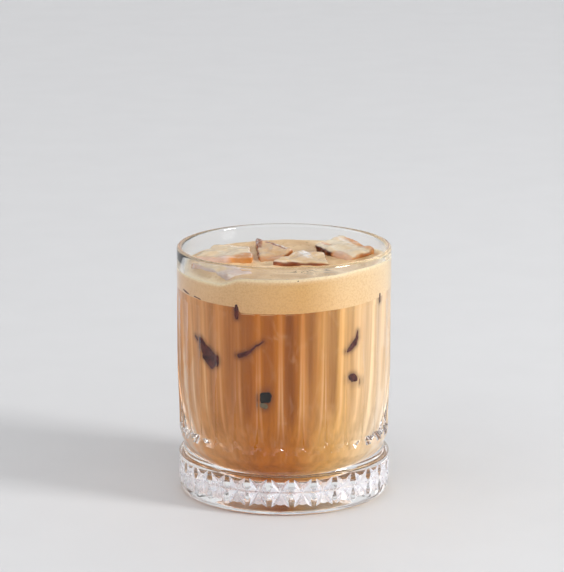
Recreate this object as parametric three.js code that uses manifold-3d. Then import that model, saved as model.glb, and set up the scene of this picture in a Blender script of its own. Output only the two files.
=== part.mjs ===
// Iced milk coffee in a heavy cut-glass tumbler, in millimetres, +Z up.
// The origin is the middle of the underside, and the front of the drink faces -Y.
// Angles round the glass are in degrees from the front, growing towards +X.

import * as THREE from 'three';
import { mergeVertices } from 'three/addons/utils/BufferGeometryUtils.js';
import Module from 'manifold-3d';

const wasm = await Module();
wasm.setup();

// Glass: overall sizes
const GLASS_HEIGHT = 97.5;
const BODY_RADIUS = 41.7;
const FOOT_RADIUS = 41.2;
const WAIST_RADIUS = 39.5;
const LIP_RADIUS = 1.05;
const HEEL_RADIUS = 3.0;
const FOOT_EDGE_HEIGHT = 15.5;
const WAIST_HEIGHT = 20.3;
const INNER_RADIUS_AT_RIM = 39.6;
const INNER_WALL_LEVEL = 52;
const INNER_COLUMNS = 60;
const BASE_HOLLOW_RADIUS = 31.0;
const BASE_HOLLOW_DEPTH = 1.7;

// Inside of the glass from the middle of its floor to the upright wall: [radius, height]
const INNER_BOTTOM = [
  [0, 7.8], [10, 8.0], [16, 8.9], [20, 10.4], [23.5, 13], [27, 16.6],
  [31, 21.5], [34.5, 27.5], [37, 34.5], [38.25, 42],
];

// Glass: vertical flutes round the body
const FLUTE_COUNT = 30;
const COLUMNS_PER_FLUTE = 4;
const FLUTE_BOTTOM = 27.0;
const FLUTE_TOP = 79.0;
const FLUTE_DEPTH_BELOW = 2.2;
const FLUTE_DEPTH_ABOVE = 0.3;
const FLUTE_RUN_OUT = 1.3;
const FLUTED_FOOT_RADIUS = 41.0;
const RIDGE_TAPER_LENGTH = 26;
const PATTERN_TURN = -2;

// Glass: the band of six-pointed stars cut into the foot
const STAR_HEIGHT = 9.4;
const STAR_CUT_DEPTH = 1.2;
const STAR_CUT_WIDTH = 3.5;
const STAR_SLANT_LENGTH = 13.2;
const STAR_LEVEL_LENGTH = 9.6;
const STAR_SLANT = 58;

// Drink
const GAP = 0.3;
const FOAM_LEVEL = 91.7;
const FOAM_BASE = 80.0;
const FOAM_EDGE_WIDTH = 4.0;

// Height of the foam where it meets the wall: [angle, height]
const FOAM_RIM = [
  [-180, 91.0], [-130, 90.0], [-80, 89.2], [-38, 89.0], [-22, 92.4], [0, 92.6],
  [25, 93.4], [45, 94.2], [80, 94.0], [125, 92.0], [180, 91.0],
];

// Height of the line between foam and coffee at the wall: [angle, height]
const FOAM_LINE = [
  [-180, 80.5], [-120, 81.0], [-75, 81.7], [-28, 81.2], [-23, 79.1], [0, 79.4],
  [30, 80.1], [54, 80.7], [80, 81.9], [120, 81.2], [180, 80.5],
];

// Ice that breaks the surface: the four corners of the top as [x, y, height], and the depth
const ICE_CORNER_SHARE = 0.15;
const ICE_TAPER = 0.9;
const ICE_UNEVENNESS = 0.25;
const ICE_BLOCKS = [
  {
    name: 'ice_left', depth: 19,
    top: [[-36.3, -5, 93.4], [-11.6, -9.8, 95.2], [-13.2, 9, 95.6], [-28, 12, 95]],
  },
  {
    name: 'ice_back', depth: 17,
    top: [[-9.4, -7.6, 92.6], [-2.4, -6.8, 92.6], [3.6, 6, 95], [-11.4, 21.8, 96.3]],
  },
  {
    name: 'ice_middle', depth: 18,
    top: [[-5.2, -14, 94.4], [17.6, -12.2, 92.8], [16, 1.6, 94.2], [7.2, 3.8, 95.2]],
  },
  {
    name: 'ice_right', depth: 19,
    top: [[24.6, -6, 93.2], [36, 9, 94.4], [21.5, 26.5, 96.2], [11.6, 12, 95.2]],
  },
  {
    name: 'ice_front', depth: 15,
    top: [[-20.5, -31.5, 92.4], [-11.5, -27.5, 92.7], [-27, -16, 93.1], [-36, -11.5, 92.9]],
  },
];

const radians = THREE.MathUtils.degToRad;

// Angle round the glass of a point, from the front towards +X
function angleOf(x, y) {
  return THREE.MathUtils.radToDeg(Math.atan2(x, -y));
}

// Smooth reading of a ring of [angle, value] pairs
function readRing(ring, angle) {
  const next = ring.findIndex(([a]) => a >= angle);
  if (next <= 0) return ring[0][1];
  const [a0, v0] = ring[next - 1];
  const [a1, v1] = ring[next];
  const t = THREE.MathUtils.smoothstep(angle, a0, a1);
  return THREE.MathUtils.lerp(v0, v1, t);
}

// Points of a quarter arc from one angle to another, in degrees, ends included
function arcPoints(x, z, radius, from, to, steps) {
  const points = [];
  for (let i = 0; i <= steps; i++) {
    const a = radians(THREE.MathUtils.lerp(from, to, i / steps));
    points.push([x + radius * Math.cos(a), z + radius * Math.sin(a)]);
  }
  return points;
}

// A closed solid turned round the upright axis from a profile of [radius, height] pairs
function turned(profile, columns, firstAngle = 0) {
  const points = profile.map(([r, z]) => new THREE.Vector2(Math.max(r, 0), z));
  const geometry = new THREE.LatheGeometry(points, columns, radians(firstAngle));
  return geometry.rotateX(Math.PI / 2);
}

// Moves each point of a geometry by a function of its place
function reshape(geometry, move) {
  const position = geometry.getAttribute('position');
  const point = new THREE.Vector3();
  for (let i = 0; i < position.count; i++) {
    point.fromBufferAttribute(position, i);
    move(point);
    position.setXYZ(i, point.x, point.y, point.z);
  }
  return geometry;
}

// A solid for joining and cutting, with shared points and without faces of no area
function solidOf(geometry) {
  geometry.deleteAttribute('normal');
  geometry.deleteAttribute('uv');
  const merged = mergeVertices(geometry, 1e-4);
  const index = merged.getIndex().array;
  const triangles = [];
  for (let i = 0; i < index.length; i += 3) {
    const [a, b, c] = [index[i], index[i + 1], index[i + 2]];
    if (a !== b && b !== c && c !== a) triangles.push(a, b, c);
  }
  const mesh = new wasm.Mesh({
    numProp: 3,
    vertProperties: new Float32Array(merged.getAttribute('position').array),
    triVerts: new Uint32Array(triangles),
  });
  return new wasm.Manifold(mesh);
}

// A three.js geometry from a solid
function geometryOf(solid) {
  const mesh = solid.getMesh();
  const geometry = new THREE.BufferGeometry();
  geometry.setAttribute('position', new THREE.BufferAttribute(mesh.vertProperties, 3));
  geometry.setIndex(new THREE.BufferAttribute(mesh.triVerts, 1));
  geometry.computeVertexNormals();
  return geometry;
}

// Radius of the fluted body's ridges, which taper a little towards the waist
function ridgeRadius(z) {
  const t = THREE.MathUtils.smoothstep(z, FLUTE_BOTTOM, FLUTE_BOTTOM + RIDGE_TAPER_LENGTH);
  return THREE.MathUtils.lerp(FLUTED_FOOT_RADIUS, BODY_RADIUS, t);
}

// Outside of the glass from the middle of the base up over the rim
function outerProfile() {
  const bodyHeights = [
    FLUTE_BOTTOM - 1.7, FLUTE_BOTTOM, FLUTE_BOTTOM + 1.5, FLUTE_BOTTOM + 9, FLUTE_BOTTOM + 20,
    FLUTE_TOP, FLUTE_TOP + 0.3,
  ];
  return [
    [0, BASE_HOLLOW_DEPTH],
    [BASE_HOLLOW_RADIUS * 0.5, BASE_HOLLOW_DEPTH * 0.75],
    [BASE_HOLLOW_RADIUS, 0],
    ...arcPoints(FOOT_RADIUS - HEEL_RADIUS, HEEL_RADIUS, HEEL_RADIUS, -90, 0, 3),
    [FOOT_RADIUS, FOOT_EDGE_HEIGHT],
    [FOOT_RADIUS - 0.2, FOOT_EDGE_HEIGHT + 0.25],
    [FOOT_RADIUS - 1.3, FOOT_EDGE_HEIGHT + 0.4],
    [WAIST_RADIUS + 0.1, WAIST_HEIGHT - 4.1],
    [WAIST_RADIUS - 0.2, WAIST_HEIGHT - 2.6],
    [WAIST_RADIUS, WAIST_HEIGHT],
    [WAIST_RADIUS + 0.85, WAIST_HEIGHT + 1.9],
    [WAIST_RADIUS + 1.35, WAIST_HEIGHT + 3.8],
    ...bodyHeights.map((z) => [ridgeRadius(z), z]),
    ...arcPoints(BODY_RADIUS - LIP_RADIUS, GLASS_HEIGHT - LIP_RADIUS, LIP_RADIUS, 0, 90, 2),
    [0, GLASS_HEIGHT],
  ];
}

// Radius of the inner wall at a height
function innerRadius(z) {
  const [lowest, start] = INNER_BOTTOM[INNER_BOTTOM.length - 1];
  const t = Math.max(0, z - start) / (GLASS_HEIGHT - start);
  return THREE.MathUtils.lerp(lowest, INNER_RADIUS_AT_RIM, Math.sqrt(t));
}

// Inside of the glass from the middle of the floor up to a height, drawn in by a gap
function innerProfile(top, gap = 0) {
  const points = [...INNER_BOTTOM, ...[INNER_WALL_LEVEL, top].map((z) => [innerRadius(z), z])];
  return points.map(([r, z], i) => {
    const [r0, z0] = points[Math.max(i - 1, 0)];
    const [r1, z1] = points[Math.min(i + 1, points.length - 1)];
    const share = gap / Math.hypot(r1 - r0, z1 - z0);
    return [r - share * (z1 - z0), z + share * (r1 - r0)];
  });
}

// Sinks the hollow flutes into the outside of the body
function cutFlutes(point) {
  const r = Math.hypot(point.x, point.y);
  if (r < WAIST_RADIUS || point.z < WAIST_HEIGHT + 1) return;
  const pitch = 360 / FLUTE_COUNT;
  const across = (((angleOf(point.x, point.y) - PATTERN_TURN) / pitch) % 1 + 1) % 1;
  const rise = THREE.MathUtils.clamp((point.z - FLUTE_BOTTOM) / (FLUTE_TOP - FLUTE_BOTTOM), 0, 1);
  const depth = THREE.MathUtils.lerp(FLUTE_DEPTH_BELOW, FLUTE_DEPTH_ABOVE, rise);
  const hollow = depth * (1 - (2 * across - 1) ** 2);
  const below = Math.max(0, FLUTE_BOTTOM - point.z);
  const above = Math.max(0, point.z - FLUTE_TOP);
  const floor = ridgeRadius(point.z) - hollow + FLUTE_RUN_OUT * (below + above);
  const scale = Math.min(1, floor / r);
  point.x *= scale;
  point.y *= scale;
}

// One long pointed cut with a V section, along a line that leans by an angle from level
function starCut(length, lean, angle) {
  const cut = new THREE.OctahedronGeometry(1);
  cut.scale(length / 2, STAR_CUT_DEPTH, STAR_CUT_WIDTH / 2);
  cut.rotateY(radians(lean));
  cut.translate(0, -FOOT_RADIUS, STAR_HEIGHT);
  cut.rotateZ(radians(angle));
  return solidOf(cut);
}

// The star band takes one level and two leaning cuts in each of its places
function cutStars(glass) {
  let band = glass;
  for (let i = 0; i < FLUTE_COUNT; i++) {
    const angle = PATTERN_TURN + (360 / FLUTE_COUNT) * i;
    band = band.subtract(starCut(STAR_LEVEL_LENGTH, 0, angle));
    band = band.subtract(starCut(STAR_SLANT_LENGTH, STAR_SLANT, angle));
    band = band.subtract(starCut(STAR_SLANT_LENGTH, -STAR_SLANT, angle));
  }
  return band;
}

// The room inside the glass, opening out a little at the rim
function makeRoom() {
  const lip = GLASS_HEIGHT - LIP_RADIUS;
  const mouth = INNER_RADIUS_AT_RIM + LIP_RADIUS * 0.6;
  const rounding = [[INNER_RADIUS_AT_RIM + LIP_RADIUS * 0.2, lip + LIP_RADIUS * 0.6], [mouth, GLASS_HEIGHT]];
  const above = [[mouth, GLASS_HEIGHT + 1], [0, GLASS_HEIGHT + 1]];
  return solidOf(turned([...innerProfile(lip), ...rounding, ...above], INNER_COLUMNS));
}

function makeGlass() {
  const columns = FLUTE_COUNT * COLUMNS_PER_FLUTE;
  const body = reshape(turned(outerProfile(), columns, PATTERN_TURN), cutFlutes);
  return geometryOf(cutStars(solidOf(body).subtract(makeRoom())));
}

// A point of a block: u, v and w run from -1 to 1 across, along and up it
function inBlock({ top, depth }, u, v, w) {
  const shares = [(1 - u) * (1 - v), (1 + u) * (1 - v), (1 + u) * (1 + v), (1 - u) * (1 + v)];
  const place = new THREE.Vector3();
  const middle = new THREE.Vector3();
  top.forEach((corner, i) => {
    place.addScaledVector(new THREE.Vector3(...corner), shares[i] / 4);
    middle.addScaledVector(new THREE.Vector3(...corner), 0.25);
  });
  const down = (1 - w) / 2;
  const draw = THREE.MathUtils.lerp(1, ICE_TAPER, down);
  place.x = THREE.MathUtils.lerp(middle.x, place.x, draw);
  place.y = THREE.MathUtils.lerp(middle.y, place.y, draw);
  place.z -= depth * down;
  return place;
}

// One block of ice with rounded corners and slightly uneven faces, made larger by grow
function iceBlock(block, grow = 0) {
  const core = 1 - ICE_CORNER_SHARE;
  const box = new THREE.BoxGeometry(2, 2, 2, 3, 3, 3);
  box.deleteAttribute('normal');
  box.deleteAttribute('uv');
  const geometry = reshape(mergeVertices(box, 1e-4), (point) => {
    const spread = point.toArray().map((c) => (Math.abs(c) < 0.9 ? Math.sign(c) * core : c));
    const inner = new THREE.Vector3(...spread.map((c) => THREE.MathUtils.clamp(c, -core, core)));
    const outwards = new THREE.Vector3(...spread).sub(inner).setLength(ICE_CORNER_SHARE);
    const rounded = inner.add(outwards);
    point.copy(inBlock(block, rounded.x, rounded.y, rounded.z));
  });
  geometry.computeVertexNormals();
  const normals = geometry.getAttribute('normal');
  let i = 0;
  return reshape(geometry, (point) => {
    const uneven = ICE_UNEVENNESS * Math.sin(0.6 * point.x) * Math.cos(0.5 * point.y + 0.4 * point.z);
    point.addScaledVector(new THREE.Vector3().fromBufferAttribute(normals, i), grow + uneven);
    i += 1;
  });
}

// Cuts a drink layer round every block of ice
function cutRoundIce(solid) {
  return ICE_BLOCKS.reduce((rest, block) => rest.subtract(solidOf(iceBlock(block, GAP))), solid);
}

// Height of the line between foam and coffee, levelling out towards the middle
function foamBase(x, y) {
  const share = Math.min(1, Math.hypot(x, y) / innerRadius(FOAM_BASE));
  const edge = readRing(FOAM_LINE, angleOf(x, y));
  return THREE.MathUtils.lerp(FOAM_BASE, edge, share * share);
}

// Height of the foam, which climbs or sinks where it meets the wall
function foamTop(x, y) {
  const wall = innerRadius(FOAM_LEVEL) - GAP;
  const nearWall = THREE.MathUtils.smoothstep(Math.hypot(x, y), wall - FOAM_EDGE_WIDTH, wall);
  return THREE.MathUtils.lerp(FOAM_LEVEL, readRing(FOAM_RIM, angleOf(x, y)), nearWall);
}

function makeCoffee() {
  const top = FOAM_BASE - GAP;
  const profile = [...innerProfile(top, GAP), [innerRadius(top) / 2, top], [0, top]];
  const coffee = reshape(turned(profile, INNER_COLUMNS), (point) => {
    if (point.z > top - 1) point.z += foamBase(point.x, point.y) - FOAM_BASE;
  });
  return geometryOf(cutRoundIce(solidOf(coffee)));
}

function makeFoam() {
  const lower = innerRadius(FOAM_BASE) - GAP;
  const upper = innerRadius(FOAM_LEVEL) - GAP;
  const under = [0, 0.5, 1].map((share) => [lower * share, FOAM_BASE]);
  const over = [1, 0.95, 0.89, 0.6, 0.3, 0.1, 0].map((share) => [upper * share, FOAM_LEVEL]);
  const foam = reshape(turned([...under, ...over], INNER_COLUMNS), (point) => {
    const height = point.z > FOAM_LEVEL - 1 ? foamTop : foamBase;
    point.z = height(point.x, point.y);
  });
  return geometryOf(cutRoundIce(solidOf(foam)));
}

function makeIce(block) {
  return geometryOf(solidOf(iceBlock(block)));
}

const clearGlass = { color: 0xe9edee, roughness: 0.02, metalness: 0 };
const milkCoffee = { color: 0xb57a47, roughness: 0.35, metalness: 0 };
const coffeeFoam = { color: 0xe2bd8d, roughness: 0.6, metalness: 0 };
const clearIce = { color: 0xe8d9c4, roughness: 0.12, metalness: 0 };

function addPiece(group, name, geometry, finish) {
  const piece = new THREE.Mesh(geometry, new THREE.MeshStandardMaterial(finish));
  piece.name = name;
  group.add(piece);
}

const drink = new THREE.Group();
addPiece(drink, 'glass', makeGlass(), clearGlass);
addPiece(drink, 'coffee', makeCoffee(), milkCoffee);
addPiece(drink, 'foam', makeFoam(), coffeeFoam);
for (const block of ICE_BLOCKS) {
  addPiece(drink, block.name, makeIce(block), clearIce);
}

export default drink;
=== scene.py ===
"""Iced milk coffee in a heavy cut-glass tumbler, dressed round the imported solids.

Lengths are in metres, and those times MM are written in millimetres.
Angles round the glass are in degrees from the front (-Y), growing towards +X.
"""

import math
import random

import bmesh
import bpy
from mathutils import Matrix, Vector, noise


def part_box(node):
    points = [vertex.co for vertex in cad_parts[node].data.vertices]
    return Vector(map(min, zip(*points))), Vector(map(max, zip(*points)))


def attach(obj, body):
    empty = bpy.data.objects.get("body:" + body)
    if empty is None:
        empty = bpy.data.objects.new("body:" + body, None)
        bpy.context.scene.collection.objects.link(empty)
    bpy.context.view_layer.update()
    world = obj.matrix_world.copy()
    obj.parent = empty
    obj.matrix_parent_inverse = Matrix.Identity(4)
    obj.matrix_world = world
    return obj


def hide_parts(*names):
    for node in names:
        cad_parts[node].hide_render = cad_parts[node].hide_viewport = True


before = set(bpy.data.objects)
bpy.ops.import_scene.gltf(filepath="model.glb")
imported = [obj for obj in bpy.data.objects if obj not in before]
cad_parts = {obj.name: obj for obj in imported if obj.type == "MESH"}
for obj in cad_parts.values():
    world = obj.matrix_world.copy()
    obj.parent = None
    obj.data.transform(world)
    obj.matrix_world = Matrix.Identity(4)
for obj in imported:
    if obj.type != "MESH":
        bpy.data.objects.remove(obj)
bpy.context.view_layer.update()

MM = 0.001
random.seed(7)

# Camera, fitted to the rim and the foot in the photo
CAMERA_PLACE = (-0.8 * MM, -1.080, 0.331)
CAMERA_PITCH = 13.03
CAMERA_LENS = 181.8

# Light
WORLD_FRONT = 1.9
WORLD_ROUND = 0.72
WORLD_ABOVE = 0.55
WORLD_LEFT = 1.2
WORLD_SHADE = (0.90, 0.905, 0.92, 1)
KEY_POWER = 40.0
KEY_PLACE = (1.7, -0.75, 0.62)
KEY_AIM = (0.0, 0.0, 0.05)
KEY_WIDTH = 0.5
KEY_HEIGHT = 0.9
MAX_BOUNCES = 24
FLOOR_SHADE = (0.66, 0.66, 0.665)
BACKDROP_SHADE = (0.60, 0.60, 0.60)
FLOOR_HALF_WIDTH = 4.0
FLOOR_FRONT = -3.0
FLOOR_LEVEL = -0.05 * MM
SWEEP_START = 1.6
SWEEP_RADIUS = 1.4
BACKDROP_HEIGHT = 4.0

# Glass, repeating the solid's driving sizes
GLASS_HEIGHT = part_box("glass")[1].z
BODY_RADIUS = 41.7 * MM
FOOT_RADIUS = 41.2 * MM
WAIST_RADIUS = 39.5 * MM
WAIST_HEIGHT = 20.3 * MM
HEEL_RADIUS = 3.0 * MM
FOOT_EDGE_HEIGHT = 15.5 * MM
LIP_RADIUS = 1.05 * MM
BASE_HOLLOW_RADIUS = 31.0 * MM
BASE_HOLLOW_DEPTH = 1.7 * MM
INNER_RADIUS_AT_RIM = 39.6 * MM

# Inside of the glass from the middle of its floor to the upright wall: (radius, height) in mm
INNER_BOTTOM = (
    (0, 7.8), (10, 8.0), (16, 8.9), (20, 10.4), (23.5, 13.0), (27, 16.6),
    (31, 21.5), (34.5, 27.5), (37, 34.5), (38.25, 42),
)
WALL_START = 52.0 * MM

# Levels of the upright wall for the drink, of which the glass needs every sixth
WALL_LEVELS = 60
GLASS_LEVEL_STEP = 6

FLUTE_COUNT = 30
FLUTE_PITCH = 360.0 / FLUTE_COUNT
COLUMNS_PER_FLUTE = 20
FLUTE_DEPTH_BELOW = 2.2 * MM
FLUTE_DEPTH_ABOVE = 0.3 * MM
FLUTE_BOTTOM = 27.0 * MM
FLUTE_TOP = 79.0 * MM
FLUTE_RUN_OUT = 0.75
FLUTED_FOOT_RADIUS = 41.0 * MM
RIDGE_TAPER_LENGTH = 26.0 * MM
PATTERN_TURN = -2.0

STAR_HEIGHT = 9.4 * MM
STAR_CUT_DEPTH = 1.2 * MM
STAR_CUT_WIDTH = 3.5 * MM
STAR_SLANT_LENGTH = 13.2 * MM
STAR_LEVEL_LENGTH = 9.6 * MM
STAR_SLANT = 58.0
DIMPLE_HEIGHT = 9.0 * MM
DIMPLE_RADIUS = 4.2 * MM
DIMPLE_DEPTH = 1.0 * MM
WHEEL_SEGMENTS = 90
WHEEL_CLEARANCE = 1.5 * MM

# Edges sharper than these angles stay sharp
GLASS_SHARP_ANGLE = 22.0
DRINK_SHARP_ANGLE = 50.0
ICE_SHARP_ANGLE = 60.0

# Drink: how far it reaches into the glass, so that no air gap shows
REACH = 0.15 * MM
DRINK_COLUMNS = 360
FOAM_LEVEL = 91.7 * MM
FOAM_BASE = 80.0 * MM
FOAM_EDGE_WIDTH = 4.0 * MM
FOAM_RINGS = 60
FLAT_SHARE = 0.6

# Foam's top: radii between which its bumps fade, its painted crest highlight starts and its colour ends
BUMPS_FADE = (36.0 * MM, 39.0 * MM)
CREST_HIGHLIGHT_START = (37.2 * MM, 39.2 * MM)
TOP_COLOUR_END = (37.6 * MM, 39.0 * MM)

# How the foam climbs round the ice: at most, over how many mm, and as a share of what stands out
MENISCUS_RISE = 0.6 * MM
MENISCUS_REACH = 1.8
MENISCUS_SHARE = 0.2

# Coffee's colours and its painted light and shade: angles, and heights in mm, between which each of them
# comes or goes
DARKEST_ANGLE = -6.0
STREAKS_WEAKEN = (10.0, 62.0)
STREAKS_START = (26.0, 46.0)
RIDGES_WEAKEN = (38.0, 76.0)
LEFT_RIDGES = (-70.0, -30.0)
LOW_TINT = (14.0, 34.0)
# Painted light low on both sides: angles where it comes and goes, heights it fades over, and how far its
# wisps reach in mm
SIDE_LIGHT_STARTS = (52.0, 78.0)
SIDE_LIGHT_ENDS = (84.0, 108.0)
SIDE_LIGHT_HEIGHTS = (30.0, 66.0)
SIDE_LIGHT_WISP = 14.0

# Height of the foam where it meets the wall: (angle, height in mm)
FOAM_RIM = (
    (-180, 91.0), (-130, 90.0), (-80, 89.2), (-38, 89.0), (-22, 92.4), (0, 92.6),
    (25, 93.4), (45, 94.2), (80, 94.0), (125, 92.0), (180, 91.0),
)

# Height of the line between foam and coffee at the wall: (angle, height in mm)
FOAM_LINE = (
    (-180, 80.5), (-120, 81.0), (-75, 81.7), (-28, 81.2), (-23, 79.1), (0, 79.4),
    (30, 80.1), (54, 80.7), (80, 81.9), (120, 81.2), (180, 80.5),
)

ICE_CORNER_SHARE = 0.15
ICE_TAPER = 0.9
ICE_CUTS = 35
ICE_CUTTER_CUTS = 17
ICE_BITE = 0.06 * MM
ICE_OUTLINE_SHARE = 0.93

# Ice that breaks the surface: the depth, and the four corners of the top in mm,
# from the front left one round to the right
ICE_BLOCKS = {
    "ice_left": (19, (-36.3, -5, 93.4), (-11.6, -9.8, 95.2), (-13.2, 9, 95.6), (-28, 12, 95)),
    "ice_back": (17, (-9.4, -7.6, 92.6), (-2.4, -6.8, 92.6), (3.6, 6, 95), (-11.4, 21.8, 96.3)),
    "ice_middle": (18, (-5.2, -14, 94.4), (17.6, -12.2, 92.8), (16, 1.6, 94.2), (7.2, 3.8, 95.2)),
    "ice_right": (19, (24.6, -6, 93.2), (36, 9, 94.4), (21.5, 26.5, 96.2), (11.6, 12, 95.2)),
    "ice_front": (15, (-20.5, -31.5, 92.4), (-11.5, -27.5, 92.7), (-27, -16, 93.1), (-36, -11.5, 92.9)),
}

# How dark the sides are, in the order front, right, back, left, and how pale the top is
ICE_SHADES = {
    "ice_left": ((0.46, 0.4, 0.3, 0.1), 0.7),
    "ice_back": ((0.3, 0.6, 0.6, 0.75), 0.25),
    "ice_middle": ((0.85, 0.8, 0.5, 0.6), 0.4),
    "ice_right": ((0.45, 0.38, 0.3, 1.0), 0.8),
    "ice_front": ((0.0, 0.0, 0.1, 0.0), 0.5),
}

# Patches on the tops between two round ends (x, y, radius) in mm, with a darkness, or less than 0 for a
# painted white highlight
ICE_PATCHES = {
    "ice_back": (
        ((-9.6, 10.0, 1.2), (-10.2, 18.6, 2.2), 0.78), ((-6.6, 14.4, 0.9), (0.0, 6.8, 1.2), 0.8),
        ((-8, -6, 3.2), (-3, -3.5, 4), 0.3), ((-9.4, 19.4, 0.8), (1.4, 7.4, 0.7), -0.9),
    ),
    "ice_middle": (((7.8, 2.6, 2.6), (7.8, -7.5, 2.4), -1.0),),
    "ice_right": (
        ((26.5, 20.5, 2.6), (34.5, 9.5, 2.8), 0.32), ((20.5, 23.5, 0.8), (27.5, 12.5, 0.8), -1.0),
        ((20.4, 0.6, 3.4), (24.0, -5.4, 3.6), 0.2), ((15.0, 14.0, 1.6), (17.6, 12.4, 1.6), 0.22),
    ),
    "ice_left": (((-13.5, -7, 4.2), (-19.5, -8.5, 2.6), 0.4), ((-34, -7, 3.6), (-23.5, -9.5, 3.6), 0.05)),
    "ice_front": (
        ((-21, -27, 4), (-14, -27.5, 3.5), 0.0), ((-35, -12.4, 0.4), (-27.4, -16.8, 0.4), 0.5),
        ((-27.4, -16.8, 0.4), (-13, -26.8, 0.4), 0.5),
    ),
}

# Sunk ice that touches the wall: chains of (angle, height in mm, half width in mm)
SUNK_CHIPS = {
    "sunk_chip_tall": ((-26.6, 81.8, 0.6), (-26.6, 80.2, 1.0), (-26.4, 77.0, 0.6)),
    "sunk_chip_speck": ((-57.2, 66.4, 0.5), (-55.4, 65.6, 0.7)),
    "sunk_chip_smear": ((-52.2, 66.0, 1.0), (-50.0, 63.2, 1.9), (-46.6, 60.6, 3.4), (-43.8, 59.2, 3.6)),
    "sunk_chip_slant": (
        (-25.4, 62.4, 1.0), (-22.0, 63.2, 0.95), (-18.6, 64.4, 0.5), (-15.4, 66.6, 0.35), (-11.6, 68.6, 0.25),
    ),
    "sunk_chip_block": ((-12.0, 47.2, 1.6), (-9.2, 47.4, 1.6), (-9.4, 46.0, 1.5), (-12.2, 45.8, 1.5)),
    "sunk_chip_foot": ((-12.8, 43.6, 1.0), (-10.8, 43.2, 1.1)),
    "sunk_chip_tick": (
        (44.2, 70.2, 0.35), (43.8, 67.6, 0.8), (42.0, 65.6, 1.4), (39.4, 64.2, 1.2), (36.8, 63.2, 0.6),
    ),
    "sunk_chip_patch": ((39.4, 52.7, 1.3), (41.6, 52.1, 1.8), (43.8, 51.4, 1.2)),
    "sunk_chip_thread": ((47.1, 51.0, 0.2), (47.1, 49.0, 0.15)),
    "sunk_chip_right": ((63.7, 82.0, 0.6), (63.7, 79.2, 0.5)),
    "foam_chip_left": ((-70.9, 83.0, 0.25), (-66.8, 82.6, 0.4), (-62.7, 82.2, 0.2)),
    "foam_chip_dash": ((-57.3, 82.2, 0.25), (-51.7, 81.7, 0.25)),
    "foam_chip_dot": ((7.4, 92.1, 0.24), (7.6, 92.1, 0.24)),
}
CHIP_WALL_RADIUS = 38.5
CHIP_HALF_THICKNESS = 0.4
CHIP_SPACING = 0.6
CHIP_UNEVENNESS = 0.22

# Dark edge that the chips have in the coffee: its width, its strength, and where it can be
HALO_WIDTH = 1.0 * MM
HALO_STRENGTH = 0.6
HALO_RADIUS = 37.0 * MM
HALO_LOWEST = 40.0 * MM

# Bubbles on the foam: two in three on the open foam, the others along the wall, in mm
BUBBLE_COUNT = 150
BUBBLE_SIZES = (0.12, 0.32)
OPEN_FOAM = (3, 37)
WALL_FOAM = (37.6, 38.7)

# Where every eighth bubble gathers, and how close together
CLUSTER = Vector((-11.0, -13.0)) * MM
CLUSTER_SHARE = 0.05

# Middle and half lengths of the place on the foam with thin dark wavy lines
DARK_LINES_MIDDLE = Vector((10.0, -24.5)) * MM
DARK_LINES_SPREAD = Vector((10.0, 4.5)) * MM


def smoothstep(value, low, high):
    t = min(1.0, max(0.0, (value - low) / (high - low)))
    return t * t * (3 - 2 * t)


def mix(a, b, t):
    return a + (b - a) * t


def angle_of(x, y):
    return math.degrees(math.atan2(x, -y))


def read_ring(ring, angle):
    """Smooth reading of a ring of (angle, height in mm) pairs, in metres."""
    for (a0, v0), (a1, v1) in zip(ring, ring[1:]):
        if angle <= a1:
            return mix(v0, v1, smoothstep(angle, a0, a1)) * MM
    return ring[-1][1] * MM


def ridge_radius(z):
    """Radius of the body's ridges, which taper a little towards the waist."""
    t = smoothstep(z, FLUTE_BOTTOM, FLUTE_BOTTOM + RIDGE_TAPER_LENGTH)
    return mix(FLUTED_FOOT_RADIUS, BODY_RADIUS, t)


def inner_radius(z):
    """Radius of the upright inner wall at a height."""
    lowest, start = INNER_BOTTOM[-1]
    t = max(0.0, z - start * MM) / (GLASS_HEIGHT - start * MM)
    return mix(lowest * MM, INNER_RADIUS_AT_RIM, math.sqrt(t))


def foam_base(x, y):
    share = min(1.0, math.hypot(x, y) / inner_radius(FOAM_BASE))
    return mix(FOAM_BASE, read_ring(FOAM_LINE, angle_of(x, y)), share * share)


def foam_top(x, y):
    wall = inner_radius(FOAM_LEVEL)
    near = smoothstep(math.hypot(x, y), wall - FOAM_EDGE_WIDTH, wall)
    return mix(FOAM_LEVEL, read_ring(FOAM_RIM, angle_of(x, y)), near)


def make_camera():
    data = bpy.data.cameras.new("camera")
    data.sensor_fit = "HORIZONTAL"
    data.sensor_width = 36.0
    data.lens = CAMERA_LENS
    data.clip_start = 0.05
    data.clip_end = 30.0
    camera = bpy.data.objects.new("camera", data)
    camera.location = CAMERA_PLACE
    camera.rotation_euler = (math.radians(90.0 - CAMERA_PITCH), 0.0, 0.0)
    bpy.context.scene.collection.objects.link(camera)
    bpy.context.scene.camera = camera


make_camera()


# Objects and meshes

def add_object(name, bm, *materials):
    """An object from a bmesh whose place is already in its points."""
    mesh = bpy.data.meshes.new(name)
    bm.to_mesh(mesh)
    bm.free()
    for material in materials:
        mesh.materials.append(material)
    made = bpy.data.objects.new(name, mesh)
    bpy.context.scene.collection.objects.link(made)
    return made


def finish_piece(piece, slot, *replaced):
    """Gives a piece its place in the part: the body and what it stands for. The slot is not used."""
    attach(piece, "root")
    if replaced:
        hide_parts(*replaced)
    return piece


def smooth_faces(piece, sharp_angle):
    """Smooth shading, broken at edges sharper than an angle."""
    bm = bmesh.new()
    bm.from_mesh(piece.data)
    for face in bm.faces:
        face.smooth = True
    for edge in bm.edges:
        edge.smooth = len(edge.link_faces) == 2 and edge.calc_face_angle() < math.radians(sharp_angle)
    bm.to_mesh(piece.data)
    bm.free()


def arc_points(x, z, radius, start, end, steps):
    angles = [math.radians(mix(start, end, i / steps)) for i in range(steps + 1)]
    return [(x + radius * math.cos(a), z + radius * math.sin(a)) for a in angles]


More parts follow.
